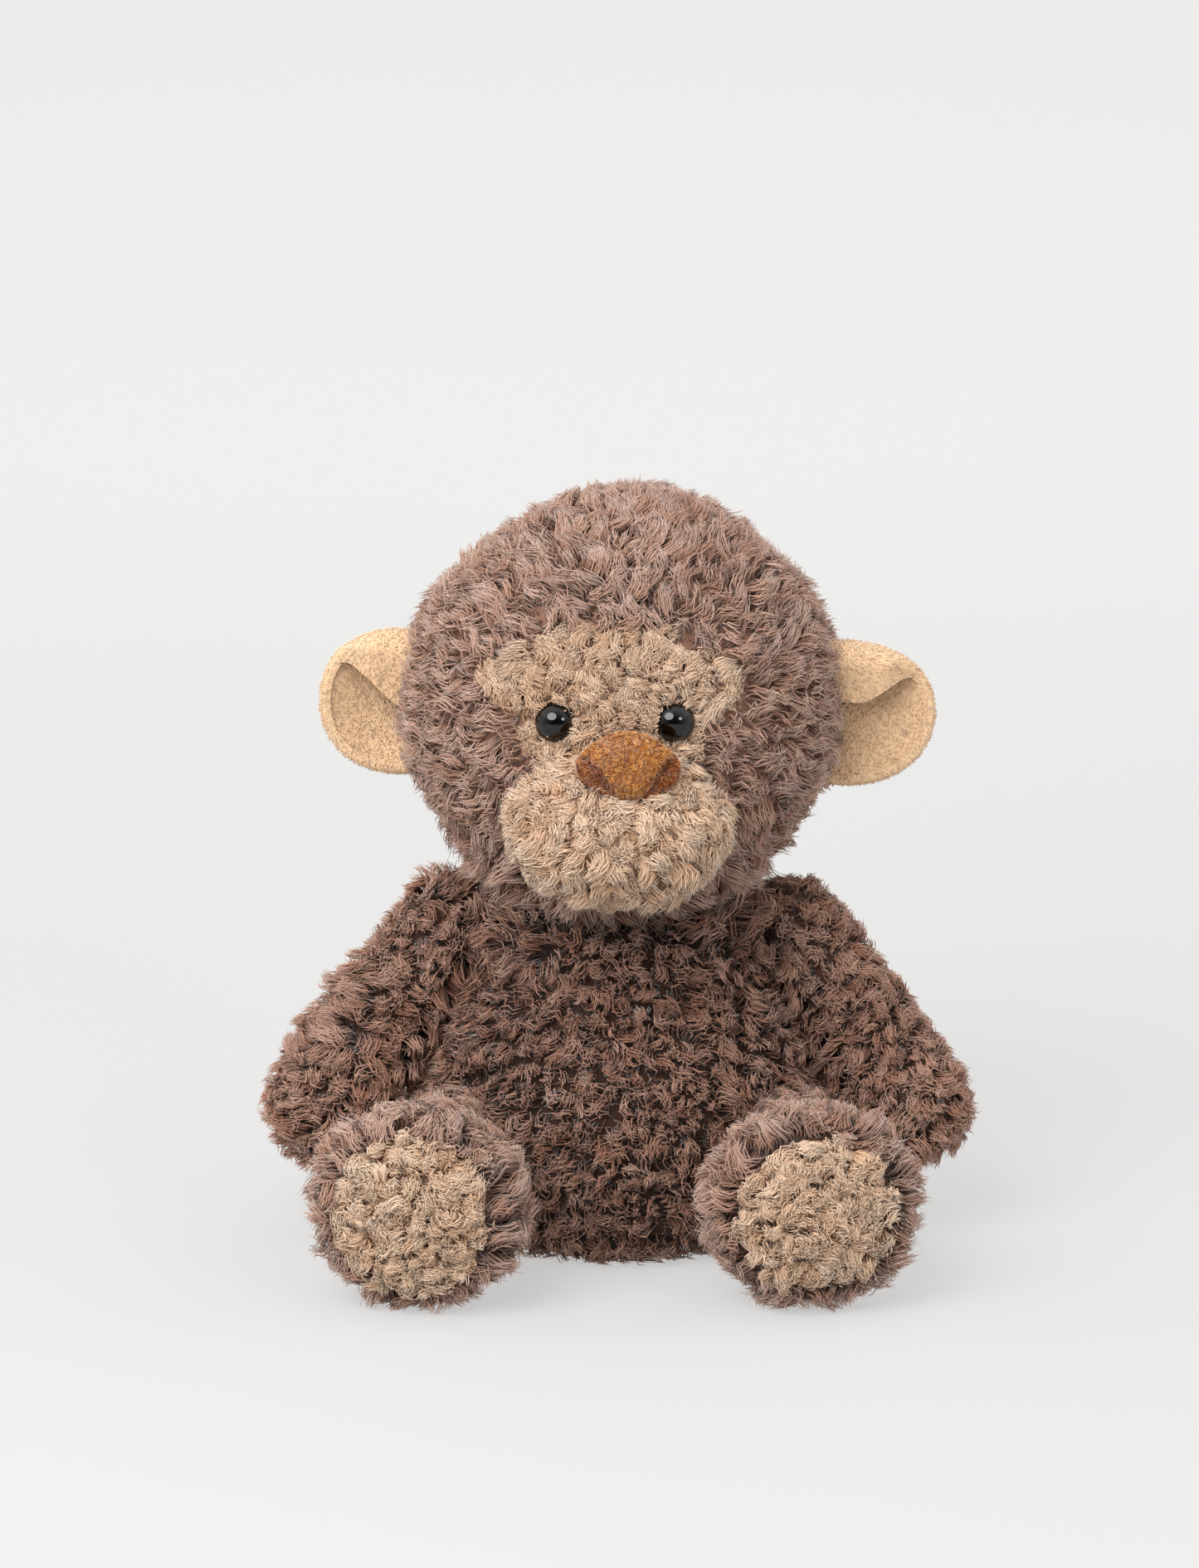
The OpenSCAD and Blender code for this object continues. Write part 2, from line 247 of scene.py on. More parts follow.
FUR_HEAD = fur_material("fur_head", (134, 101, 85), (182, 147, 129), (209, 178, 162), (228, 211, 200))
# Painted shade: the torso and arm fur are darker copies of the head's fur, for the shade under the head and
# in their tighter curl.
FUR_BODY_SHADED = fur_material("fur_body_shaded", (38, 20, 12), (140, 101, 82), (204, 166, 147), (214, 190, 176), sheen=0.3)
FUR_ARM_SHADED = fur_material("fur_arm_shaded", (64, 41, 30), (162, 122, 102), (214, 177, 158), (220, 199, 187), sheen=0.3)
FUR_LEG = fur_material("fur_leg", (98, 70, 58), (170, 136, 119), (214, 183, 167), (224, 204, 192))
FUR_PALE = fur_material("fur_pale", (204, 169, 138), (227, 196, 168), (240, 217, 194), (234, 220, 206))
# Painted shade: the face mask fur is a darker copy of fur_pale, the same cloth, to offset the stronger light
# on the forehead.
FUR_PALE_SHADED = fur_material("fur_pale_shaded", (193, 159, 130), (216, 185, 158), (231, 206, 182), (234, 220, 206))
FUZZ_TAN = fur_material("fuzz_tan", (226, 195, 160), (238, 212, 182), (248, 232, 211), (246, 234, 218))
# The rust fuzz multiplies towards a dark brown. This paints shade into the nose folds and also varies the
# tone.
FUZZ_RUST = fur_material("fuzz_rust", (152, 90, 28), (198, 130, 56), (228, 168, 94), (164, 118, 74))
FILLING = cloth_material("filling", (240, 240, 236), (206, 206, 202), 300, 0.001)
CALICO = cloth_material("calico", (220, 208, 182), (196, 184, 156), 900, 0.0003)
THREAD = cloth_material("thread", (96, 70, 56), (66, 46, 36), 2500, 0.0002, grain=1200)
PELLETS = plastic_material("pellets", (226, 226, 220), 0.5)
EYE = plastic_material("eye", (1, 1, 2), 0.04)
WASHER = plastic_material("washer", (216, 216, 216), 0.45)


# ---------- meshes ----------

def mesh_object(name, verts, faces, material=None):
    me = bpy.data.meshes.new(name)
    me.from_pydata([tuple(map(float, v)) for v in verts], [], [tuple(map(int, f)) for f in faces])
    me.update(calc_edges=True)
    me.polygons.foreach_set("use_smooth", [True] * len(me.polygons))
    o = bpy.data.objects.new(name, me)
    bpy.context.scene.collection.objects.link(o)
    if material:
        me.materials.append(material)
    return o


def triangles(obj):
    """Vertices and triangles of an object as it is shown."""
    dg = bpy.context.evaluated_depsgraph_get()
    me = obj.evaluated_get(dg).to_mesh()
    me.calc_loop_triangles()
    v = np.zeros(len(me.vertices) * 3)
    me.vertices.foreach_get("co", v)
    f = np.zeros(len(me.loop_triangles) * 3, int)
    me.loop_triangles.foreach_get("vertices", f)
    obj.evaluated_get(dg).to_mesh_clear()
    return v.reshape(-1, 3), f.reshape(-1, 3)


def lathe(profile, n=48):
    """Closed surface turned about +Z from (radius, z) points that start and end on the axis."""
    p = np.array(profile, float)
    rows = p[1:-1]
    a = np.arange(n) * 2 * math.pi / n
    ring = np.stack([np.outer(rows[:, 0], np.cos(a)), np.outer(rows[:, 0], np.sin(a)),
                     np.repeat(rows[:, 1:2], n, 1)], -1).reshape(-1, 3)
    v = np.vstack([ring, [[0, 0, p[0, 1]], [0, 0, p[-1, 1]]]])
    k = len(rows)
    faces = [(i * n + j, i * n + (j + 1) % n, (i + 1) * n + (j + 1) % n, (i + 1) * n + j)
             for i in range(k - 1) for j in range(n)]
    faces += [(k * n, (j + 1) % n, j) for j in range(n)]
    faces += [(k * n + 1, (k - 1) * n + j, (k - 1) * n + (j + 1) % n) for j in range(n)]
    return v, faces


def aim(v, start, way):
    """Turns +Z of a surface along way, and puts its origin at start."""
    w = unit(np.array(way, float))
    u = unit(np.cross([0, 0, 1.0], w))
    return start + v[:, 0:1] * u + v[:, 1:2] * np.cross(w, u) + v[:, 2:3] * w


def stuffed(name, verts, faces, cap, voxel=0.005):
    """Puffs a closed cover out as its filling would, with a cloth simulation, and returns the skin."""
    src = mesh_object(name, verts, faces)
    remesh = src.modifiers.new("remesh", "REMESH")
    remesh.mode = "VOXEL"
    remesh.voxel_size = voxel
    dg = bpy.context.evaluated_depsgraph_get()
    me = bpy.data.meshes.new_from_object(src.evaluated_get(dg))
    bpy.data.objects.remove(src)
    o = bpy.data.objects.new(name + "_cloth", me)
    bpy.context.scene.collection.objects.link(o)
    cloth = o.modifiers.new("cloth", "CLOTH")
    cloth.settings.use_pressure = True
    cloth.settings.uniform_pressure_force = 4
    cloth.settings.mass = 0.2
    cloth.settings.tension_stiffness = 20
    cloth.settings.compression_stiffness = 20
    cloth.settings.bending_stiffness = 2
    cloth.settings.effector_weights.gravity = 0
    cloth.point_cache.frame_start = 1
    cloth.point_cache.frame_end = 20
    start = np.zeros(len(me.vertices) * 3)
    me.vertices.foreach_get("co", start)
    start = start.reshape(-1, 3)
    for f in range(1, 21):
        bpy.context.scene.frame_set(f)
    dg = bpy.context.evaluated_depsgraph_get()
    done = np.zeros(len(me.vertices) * 3)
    o.evaluated_get(dg).data.vertices.foreach_get("co", done)
    move = done.reshape(-1, 3) - start
    far = np.linalg.norm(move, axis=1, keepdims=True)
    move *= np.minimum(1, cap / np.maximum(far, 1e-9))
    o.modifiers.clear()
    me.vertices.foreach_set("co", (start + move).ravel())
    me.update()
    bpy.context.scene.frame_set(1)
    o.modifiers.new("smooth", "SMOOTH").iterations = 3
    sub = o.modifiers.new("subdivide", "SUBSURF")
    sub.levels = sub.render_levels = 1
    v, f = triangles(o)
    bpy.data.objects.remove(o)
    return v, f


def skin_normals(v, f):
    n = np.zeros_like(v)
    fn = np.cross(v[f[:, 1]] - v[f[:, 0]], v[f[:, 2]] - v[f[:, 0]])
    for k in range(3):
        np.add.at(n, f[:, k], fn)
    return unit(n)


def scatter(v, f, n, rng):
    """n points spread over the triangles, with their normals."""
    a, b, c = v[f[:, 0]], v[f[:, 1]], v[f[:, 2]]
    area = np.linalg.norm(np.cross(b - a, c - a), axis=1)
    pick = rng.choice(len(f), n, p=area / area.sum())
    r = rng.random((n, 2))
    r[r.sum(1) > 1] = 1 - r[r.sum(1) > 1]
    w = np.stack([1 - r.sum(1), r[:, 0], r[:, 1]], -1)
    vn = skin_normals(v, f)
    t = f[pick]
    p = np.einsum("nk,nkd->nd", w, v[t])
    return p, unit(np.einsum("nk,nkd->nd", w, vn[t]))


def nearest(p, seeds):
    out = np.zeros(len(p), int)
    for i in range(0, len(p), 2000):
        d = ((p[i:i + 2000, None] - seeds[None]) ** 2).sum(-1)
        out[i:i + 2000] = d.argmin(1)
    return out


LONG = np.array([0.0, 0.3, 0.58, 0.82, 1.0])
SHORT = np.array([0.0, 0.55, 1.0])


def bent(p, n, flow, length, lift, curl, turns, phase, steps):
    """Points along hairs that leave along the normal and lean over with the flow."""
    u = unit(np.cross(n, flow))
    w = unit(np.cross(n, u))
    t = steps[None, :, None]
    L = length[:, None, None]
    rise = lift[:, None, None]
    path = n[:, None] * (L * t * (rise + (1 - rise) * 0.45 * (1 - t)))
    path = path + flow[:, None] * (L * (1 - rise) * t ** 1.5)
    a = (turns[:, None, None] * t + phase[:, None, None]) * 2 * math.pi
    a0 = phase[:, None, None] * 2 * math.pi
    c = curl[:, None, None] * np.minimum(1, t * 2)
    path = path + u[:, None] * c * (np.sin(a) - np.sin(a0)) + w[:, None] * c * (np.cos(a) - np.cos(a0))
    return p[:, None] + path


def fur(name, v, f, count, flow_of, length, lift=0.5, curl=0.0008, turns=1.0, lock=0.0036, clump=0.7,
        width=0.00026, seed=1, material=None, spread=0.25, loose=0.0010, stray=0.16, steps=LONG, tone_and_painted_shade=None):
    """A panel of fur fabric: its backing, and hairs that gather into locks."""
    rng = np.random.default_rng(seed)
    p, n = scatter(v, f, count, rng)
    area = 0.5 * np.linalg.norm(np.cross(v[f[:, 1]] - v[f[:, 0]], v[f[:, 2]] - v[f[:, 0]]), axis=1).sum()
    k = max(8, int(area / lock ** 2))
    sp, sn = scatter(v, f, k, rng)
    long_at = length if callable(length) else (lambda q: np.full(len(q), length))
    lift_at = lift if callable(lift) else (lambda q: np.full(len(q), lift))

    def lean(pp, nn, r):
        flow = flow_of(pp, nn) + r * spread
        return unit(flow - (flow * nn).sum(1, keepdims=True) * nn)

    jitter = rng.normal(size=(k, 3))
    size = rng.uniform(0.75, 1.2, k)
    phase = rng.random(k)
    coil = curl * rng.uniform(0.6, 1.5, k)
    turn = turns * rng.choice([-1, 1], k) * rng.uniform(0.7, 1.2, k)
    guides = bent(sp, sn, lean(sp, sn, jitter), long_at(sp) * size, lift_at(sp), coil, turn, phase, steps)
    who = nearest(p, sp)
    apart = rng.normal(size=(count, 3)) * 0.4
    own_length = long_at(p) * size[who] * rng.uniform(0.8, 1.15, count)
    own = bent(p, n, lean(p, n, jitter[who] * 0.8 + apart), own_length, lift_at(p),
               coil[who] * rng.uniform(0.7, 1.3, count), turn[who],
               phase[who] + rng.normal(size=count) * 0.06, steps)
    pull = (clump * rng.uniform(0.5, 1.0, count))[:, None, None] * (steps[None, :, None] ** 1.2)
    pts = own * (1 - pull) + (guides[who] + rng.normal(size=(count, 1, 3)) * loose) * pull
    single = rng.random(count) < stray
    pts[single] = own[single]
    pts[..., 2] = np.maximum(pts[..., 2], 0.0007)
    m = len(steps) - 1
    tan = unit(np.gradient(pts, axis=1))
    side = unit(np.cross(tan, n[:, None]) + 1e-6)
    up = np.cross(tan, side)
    taper = np.sqrt(np.clip(1 - steps[:m] ** 2.2, 0.05, 1))
    thick = width * rng.uniform(0.7, 1.25, count) * np.where(single, 0.65, 1)
    r = thick[:, None, None] * taper[None, :, None]
    rings = [pts[:, :m] + r * (math.cos(a) * side[:, :m] + math.sin(a) * up[:, :m])
             for a in (0.0, 2.094, 4.189)]
    ring = np.stack(rings, 2).reshape(count, 3 * m, 3)
    verts = np.concatenate([ring, pts[:, m:]], 1).reshape(-1, 3)
    quads = [(q * 3 + i, q * 3 + (i + 1) % 3, q * 3 + 3 + (i + 1) % 3, q * 3 + 3 + i)
             for q in range(m - 1) for i in range(3)]
    tips = [(3 * m - 3 + i, 3 * m - 3 + (i + 1) % 3, 3 * m) for i in range(3)] + [(2, 1, 0)]
    each = 3 * m + 1
    base = (np.arange(count) * each)[:, None, None]
    four = (np.array(quads)[None] + base).reshape(-1, 4)
    three = (np.array(tips)[None] + base).reshape(-1, 3)
    three = np.vstack([three, f + len(verts)])
    allv = np.vstack([verts, v])
    me = bpy.data.meshes.new(name)
    me.vertices.add(len(allv))
    me.vertices.foreach_set("co", allv.astype(np.float32).ravel())
    me.loops.add(four.size + three.size)
    me.loops.foreach_set("vertex_index", np.concatenate([four.ravel(), three.ravel()]).astype(np.int32))
    me.polygons.add(len(four) + len(three))
    starts = np.concatenate([np.arange(len(four)) * 4, four.size + np.arange(len(three)) * 3])
    me.polygons.foreach_set("loop_start", starts.astype(np.int32))
    me.update(calc_edges=True)
    me.polygons.foreach_set("use_smooth", np.ones(len(four) + len(three), bool))
    # Painted shade: each hair darkens towards its root, and the backing takes the dark root colour, for the
    # shade between the hairs.
    along = np.tile(np.concatenate([np.repeat(steps[:m], 3), [1.0]]), count)
    tone = np.clip(0.5 + 0.22 * rng.normal(size=k), 0, 1)[who]
    tone = tone + 0.18 * rng.normal(size=count) + 0.2 * lumps(p, 0.03, seed + 5)
    under = np.full(len(v), 0.5)
    # Painted shade that a panel adds to its hairs and backing.
    if tone_and_painted_shade:
        tone, under = tone + tone_and_painted_shade(p), under + tone_and_painted_shade(v)
    for label, values in (("along", np.concatenate([along, np.full(len(v), 0.05)])),
                          ("shade", np.clip(np.concatenate([np.repeat(tone, each), under]), 0, 1))):
        at = me.attributes.new(label, "FLOAT", "POINT")
        at.data.foreach_set("value", values.astype(np.float32))
    me.materials.append(material)
    o = bpy.data.objects.new(name, me)
    bpy.context.scene.collection.objects.link(o)
    return o


def give(obj, body, slot, *nodes, fill=None):
    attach(obj, body)
    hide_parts(*nodes)
    return obj


def part(v, f, keep):
    """The triangles whose middles keep() accepts, with the vertices they use."""
    mid = v[f].mean(1)
    g = f[keep(mid)]
    used, back = np.unique(g, return_inverse=True)
    return v[used], back.reshape(g.shape)


# ---------- fillings and other inner pieces ----------

def lumpy(node, body, slot, material, voxel, depth, size, fill=None, sink=0.0):
    """A loose filling: the space its node holds, with an uneven surface that sinks below it."""
    o = bpy.data.objects.new(node + "_soft", frame["nodes"][node].data.copy())
    bpy.context.scene.collection.objects.link(o)
    remesh = o.modifiers.new("remesh", "REMESH")
    remesh.mode = "VOXEL"
    remesh.voxel_size = voxel
    v, f = triangles(o)
    bpy.data.objects.remove(o)
    n = skin_normals(v, f)
    v = v - n * (sink + depth * (0.55 + 0.45 * lumps(v, size, len(node))))[:, None]
    o = mesh_object(node + "_fill", v, f, material)
    return give(o, body, slot, node, fill=fill)


lumpy("torso_stuffing", "torso", "filling", FILLING, 0.004, 0.0030, 0.012, 0.9)
lumpy("head_stuffing", "head", "filling", FILLING, 0.004, 0.0030, 0.012, 0.95)
lumpy("muzzle_stuffing", "head", "filling", FILLING, 0.003, 0.0022, 0.009, 0.9)
lumpy("neck_stuffing", "neck", "filling", FILLING, 0.0012, 0.0003, 0.004, 0.7)
lumpy("bean_bag", "torso", "calico", CALICO, 0.0015, 0.0002, 0.006, 0.7)
lumpy("bean_pellets", "torso", "pellets", PELLETS, 0.0012, 0.0008, 0.003)
for side in ("left", "right"):
    lumpy(f"arm_{side}_stuffing", f"arm_{side}", "filling", FILLING, 0.003, 0.0018, 0.009, 0.85)
    lumpy(f"leg_{side}_stuffing", f"leg_{side}", "filling", FILLING, 0.003, 0.0018, 0.009, 0.9, sink=0.0025)

for node, material in (("neck_stitching", THREAD), ("shoulder_left_stitching", THREAD),
                       ("shoulder_right_stitching", THREAD), ("hip_left_stitching", THREAD),
                       ("hip_right_stitching", THREAD), ("eye_washer_left", WASHER),
                       ("eye_washer_right", WASHER)):
    data = frame["nodes"][node].data
    for i in range(max(1, len(data.materials))):
        frame["nodes"][node].material_slots[i].material = material


# ---------- torso ----------

SEAT_R = span("torso_base_panel")[0] / 2
BELLY_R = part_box("torso_back_left_panel")[1].x
TORSO_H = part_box("torso_back_left_panel")[1].z
BELLY_Z, NECK_R, WAIST = 34 * MM, 31 * MM, 76 * MM
TORSO_IN = 3.4 * MM


def torso_radius(z):
    if z < BELLY_Z:
        return SEAT_R + (BELLY_R - SEAT_R) * math.sqrt(max(0, 1 - ((BELLY_Z - z) / BELLY_Z) ** 2))
    return NECK_R + (BELLY_R - NECK_R) * (0.5 + 0.5 * math.cos(math.pi * (z - BELLY_Z) / WAIST))


zs = np.linspace(1.2 * MM, TORSO_H - 4 * MM, 26)
full = lambda z: torso_radius(z) - TORSO_IN + 6 * MM * float(smooth(z, 78 * MM, 94 * MM))
tv, tf = lathe([[0, zs[0]]] + [[full(z), z] for z in zs] + [[0, zs[-1]]])
tv, tf = stuffed("torso", tv, tf, 1.5 * MM)
tv[:, 2] = np.maximum(tv[:, 2], 0.8 * MM)


def tangled(down, seed, size=0.02, swirl=0.9):
    """A flow that runs one way on the whole and swirls on the way."""
    def flow(p, n):
        wander = np.stack([lumps(p, size, seed), lumps(p, size, seed + 1), lumps(p, size, seed + 2)], -1)
        return np.array(down, float) + swirl * wander
    return flow


def torso_flow(p, n):
    """Down on the whole, but up and outwards round the neck."""
    high = smooth(p[:, 2], 82 * MM, 94 * MM)[:, None]
    around = unit(p * np.array([1, 1, 0])) + np.array([0, 0, 0.5])
    return tangled((0, 0, -0.6), 11)(p, n) * (1 - high) + around * high * 1.5


def torso_length(p):
    neck = smooth(p[:, 2], 78 * MM, 92 * MM) * smooth(np.abs(p[:, 0]), 8 * MM, 22 * MM)
    flank = smooth(np.abs(p[:, 0]), 30 * MM, 44 * MM)
    return 8.0 * MM + 9.0 * MM * neck + 2.5 * MM * flank


TORSO_FUR = dict(lift=0.66, curl=0.0013, turns=1.2, lock=0.0040, clump=0.8, material=FUR_BODY_SHADED, spread=0.5)
base = lambda m: (m[:, 2] < 2.2 * MM) & (np.hypot(m[:, 0], m[:, 1]) < SEAT_R - 1 * MM)
for name, node, count, keep in (
        ("torso_front_fur", "torso_front_panel", 13000, lambda m: ~base(m) & (m[:, 1] < 0)),
        ("torso_back_left_fur", "torso_back_left_panel", 7500,
         lambda m: ~base(m) & (m[:, 1] >= 0) & (m[:, 0] >= 0)),
        ("torso_back_right_fur", "torso_back_right_panel", 7500,
         lambda m: ~base(m) & (m[:, 1] >= 0) & (m[:, 0] < 0))):
    v, f = part(tv, tf, keep)
    o = fur(name, v, f, count, torso_flow, torso_length, seed=len(name), **TORSO_FUR)
    give(o, "torso", "fur_brown", node, fill=0.9)
v, f = part(tv, tf, base)
o = fur("torso_base_fur", v, f, 1500, tangled((0, 0.3, 0), 12), 2.0 * MM, seed=5, **TORSO_FUR)
give(o, "torso", "fur_brown", "torso_base_panel", fill=0.9)


# ---------- arms and legs ----------

def capsule(r0, r1, length, n=14):
    tilt = math.asin((r1 - r0) / length)
    pts = [(r0 * math.cos(a), r0 * math.sin(a)) for a in np.linspace(-math.pi / 2, -tilt, n)]
    end = [(r1 * math.cos(a), length + r1 * math.sin(a)) for a in np.linspace(-tilt, math.pi / 2, n)]
    mid = [tuple(np.array(pts[-1]) + (np.array(end[0]) - np.array(pts[-1])) * k / 12) for k in range(1, 12)]
    pts = pts + mid + end
    pts[0] = (0, pts[0][1])
    pts[-1] = (0, pts[-1][1])
    return pts


# How far a leg hangs below the seat when it swings all the way down
SWING = math.radians(-min(joint_row("hip_left_swing")["range_deg"]))
LOWEST = []


def hung(v, hip, turn):
    q = v - hip
    return float((hip[2] + q[:, 1] * math.sin(turn) + q[:, 2] * math.cos(turn)).min())


ARM_IN, LEG_IN = 2.8 * MM, 3.6 * MM
SHOULDER_R, HAND_R = 13.8 * MM, 17.5 * MM
LEG_R, FOOT_R = 19.5 * MM, 30 * MM

for side, s in (("left", 1), ("right", -1)):
    shoulder = joint(f"shoulder_{side}_swing")
    lo = np.minimum(*[np.array(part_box(f"arm_{side}_{k}_panel")[0]) for k in ("outer", "inner")])
    hi = np.maximum(*[np.array(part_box(f"arm_{side}_{k}_panel")[1]) for k in ("outer", "inner")])
    hand = np.array([(hi[0] if s > 0 else lo[0]) - s * HAND_R, lo[1] + HAND_R, lo[2] + HAND_R])
    way = hand - shoulder
    av, af = lathe(capsule(SHOULDER_R - ARM_IN, HAND_R - ARM_IN, float(np.linalg.norm(way))), 36)
    av, af = stuffed(f"arm_{side}", aim(av, shoulder, way), af, 1.2 * MM, 0.004)
    out = unit(np.array([-way[2] * s, 0, way[0] * s]))
    outer = lambda m: (m - shoulder) @ out > 0
    along = unit(way)
    arm_fur = dict(lift=0.64, curl=0.0011, turns=1.1, lock=0.0038, clump=0.78, material=FUR_ARM_SHADED, spread=0.45)

    def arm_length(p):
        """Longer at the top of the arm, where it fills in beside the neck, and along the inside."""
        q = p - shoulder
        top = smooth(q[:, 2], 0, 9 * MM) * smooth(-q[:, 0] * s, -12 * MM, 0)
        inner = smooth(-(q @ out), -2 * MM, 6 * MM)
        down = -q[:, 2]
        outside = smooth(q @ out, 0, 8 * MM) * smooth(down, 4 * MM, 16 * MM)
        outside = outside * (1 - smooth(down, 34 * MM, 46 * MM))
        everywhere, above, beside = (7.8, 5.0, 4.0) if s < 0 else (6.4, 0.0, 0.5)
        return (everywhere + above * top + 3.0 * inner + beside * outside) * MM

    def arm_flow(p, n):
        q = p - shoulder
        top = (smooth(q[:, 2], 0, 9 * MM) * smooth(-q[:, 0] * s, -8 * MM, 4 * MM))[:, None]
        return tangled(along * 0.7, 21 + s)(p, n) * (1 - top) + np.array([-0.8 * s, 0, 0.5]) * top

    for k, count, keep in (("outer", 6200, outer), ("inner", 5000, lambda m: ~outer(m))):
        v, f = part(av, af, keep)
        o = fur(f"arm_{side}_{k}_fur", v, f, count, arm_flow, arm_length, seed=31 + s + len(k), **arm_fur)
        give(o, f"arm_{side}", "fur_brown", f"arm_{side}_{k}_panel", fill=0.85)

    hip = joint(f"hip_{side}_swing")
    pad = middle(f"foot_{side}_pad") - np.array([2.2 * MM, 0, 0])
    leg = pad - hip
    leg[2] = 0
    way = unit(leg)
    tip = float(np.linalg.norm(leg)) + 0.5 * span(f"foot_{side}_pad")[1]
    length = tip - 14 * MM
    prof = [(LEG_R - LEG_IN) * np.array([math.cos(a), math.sin(a)]) for a in np.linspace(-math.pi / 2, 0, 10)]
    prof += [np.array([LEG_R - LEG_IN, t]) for t in np.linspace(0.005, 0.042, 8)]
    for t in np.linspace(0.08, 1, 10):
        wide = LEG_R - LEG_IN + (FOOT_R - LEG_R) * (0.5 - 0.5 * math.cos(math.pi * t))
        prof.append(np.array([wide, length - 24 * MM + 22 * MM * t]))
    for a in np.linspace(0.12, math.pi / 2, 12):
        wide, deep = (FOOT_R - LEG_IN) * math.cos(a), (14 * MM - LEG_IN) * math.sin(a)
        prof.append(np.array([wide, length - 2 * MM + deep]))
    prof[0][0] = prof[-1][0] = 0
    lv, lf = lathe(prof, 48)
    lv, lf = stuffed(f"leg_{side}", aim(lv, hip, way), lf, 1.5 * MM)
    lv[:, 2] = np.maximum(lv[:, 2], 1.5 * MM)
    LOWEST.append(hung(lv, hip, SWING))
    pad_r = span(f"foot_{side}_pad")[2] / 2
    sole = hip + way * (length + 6 * MM)

    def off(m):
        q = m - hip
        t = q @ way
        return t, q - t[:, None] * way

    def in_pad(m):
        t, r = off(m)
        return (t > length - 2 * MM) & (np.linalg.norm(r, axis=1) < pad_r - 1.5 * MM)

    def leg_flow(p, n):
        t, r = off(p)
        rim = smooth(t, length - 20 * MM, length)[:, None]
        wander = tangled((0, 0, 0), 41 + s)(p, n)
        return way * (1 - 1.5 * rim) + unit(r) * rim * 1.3 + wander * 0.9

    def leg_length(p):
        t, r = off(p)
        side_ = np.abs(unit(r) @ np.cross(way, [0, 0, 1.0]))
        return 7.5 * MM + (1.5 + 3.5 * side_) * MM * smooth(t, length - 30 * MM, length - 10 * MM)

    def pad_flow(p, n):
        _, r = off(p)
        outward = unit(r) * (0.3 * np.linalg.norm(r, axis=1) / pad_r)[:, None]
        return outward + tangled((0, 0, 0.1), 51 + s, 0.012)(p, n) * 1.1

    leg_fur = dict(lift=0.6, curl=0.0014, turns=1.0, lock=0.0042, clump=0.74, material=FUR_LEG, spread=0.55)
    upper = lambda m: m[:, 2] > hip[2]
    for k, count, keep in (("upper", 7600, lambda m: ~in_pad(m) & upper(m)),
                           ("under", 6600, lambda m: ~in_pad(m) & ~upper(m))):
        v, f = part(lv, lf, keep)
        o = fur(f"leg_{side}_{k}_fur", v, f, count, leg_flow, leg_length, seed=61 + s + len(k), **leg_fur)
        give(o, f"leg_{side}", "fur_light", f"leg_{side}_{k}_panel", fill=0.9)
    v, f = part(lv, lf, in_pad)
    v = v + way * 0.8 * MM
    o = fur(f"foot_{side}_pad_fur", v, f, 6000, pad_flow, 6.5 * MM, lift=0.68, curl=0.0010, turns=1.0,
            lock=0.0038, clump=0.78, material=FUR_PALE, spread=0.5, seed=71 + s)
    give(o, f"leg_{side}", "fur_beige", f"foot_{side}_pad", fill=0.9)


# ---------- head ----------

HEAD_IN = 4.0 * MM
EYES = {}
for side in ("left", "right"):
    lo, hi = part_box(f"eye_{side}")
    EYE_R = (hi.z - lo.z) / 2
    EYES[side] = np.array([(lo.x + hi.x) / 2, lo.y + EYE_R, (lo.z + hi.z) / 2])
EYE_AT = unroll(np.array([EYES["left"], EYES["right"]]))

a = np.linspace(-math.pi / 2, math.pi / 2, 40)
skull = HEAD_R - HEAD_IN - 1 * MM
hv, hf = lathe([(skull * math.cos(t), skull * math.sin(t)) for t in a], 64)
hv[np.abs(hv) < 1e-9] = 0
hv, hf = stuffed("head", hv + HEAD, hf, 1.2 * MM)
q = unroll(hv)
thin = 1.02 - 0.12 * smooth(q[:, 2], 24 * MM, 60 * MM) - 0.06 * smooth(-q[:, 2], 12 * MM, 40 * MM)
q[:, 0] = (q[:, 0] - 3 * MM) * thin + 3 * MM + 1.5 * MM * smooth(q[:, 2], 10 * MM, 50 * MM)
hv = roll(q)

MASK_X, MASK_LOW, MASK_TOP = -2.5 * MM, -6 * MM, 30 * MM


def in_mask(m):
    q = unroll(m)
    x, z = np.abs(q[:, 0] - MASK_X), q[:, 2]
    wide = 25 * MM + 11 * MM * smooth(z, 4 * MM, 11 * MM)
    corner = smooth(z, 14 * MM, MASK_TOP) ** 1.5 * 20 * MM
    return (q[:, 1] < 0) & (z > MASK_LOW) & (z < MASK_TOP) & (x < wide - corner)


def under_muzzle(m):
    q = unroll(m) - unroll(MUZZLE)
    q[:, 0] = np.maximum(np.abs(q[:, 0]) - CHEEK, 0)
    return np.linalg.norm(q, axis=1) < MUZZLE_R - 5.5 * MM


def lune(m):
    q = unroll(m)
    return np.degrees(np.arctan2(q[:, 2], q[:, 0])) % 360


FACE = np.array([0, -HEAD_R, 0.004])


def head_flow(p, n):
    q = unroll(p)
    away = unit(q - FACE)
    down = np.array([0, 0.2, -1.0])
    back = smooth(q[:, 1], -5 * MM, 35 * MM)[:, None]
    wander = tangled((0, 0, 0), 81, 0.03)(p, n)
    return away * (1 - back) + down * back + wander * 0.45


def head_length(p):
    q = unroll(p)
    top = smooth(q[:, 2], 0, 45 * MM)
    chin = smooth(-q[:, 2], 32 * MM, 44 * MM)
    return 8.8 * MM + 1.2 * MM * top + 6.0 * MM * chin


def mask_length(p):
    q = unroll(p)
    near = np.zeros(len(p))
    for e in EYE_AT:
        r = np.linalg.norm((q - e)[:, [0, 2]], axis=1)
        near = np.maximum(near, (1 - smooth(r, 6 * MM, 11 * MM)) * (q[:, 2] < e[2] + 4 * MM))
    return 6.5 * MM - 3.0 * MM * near


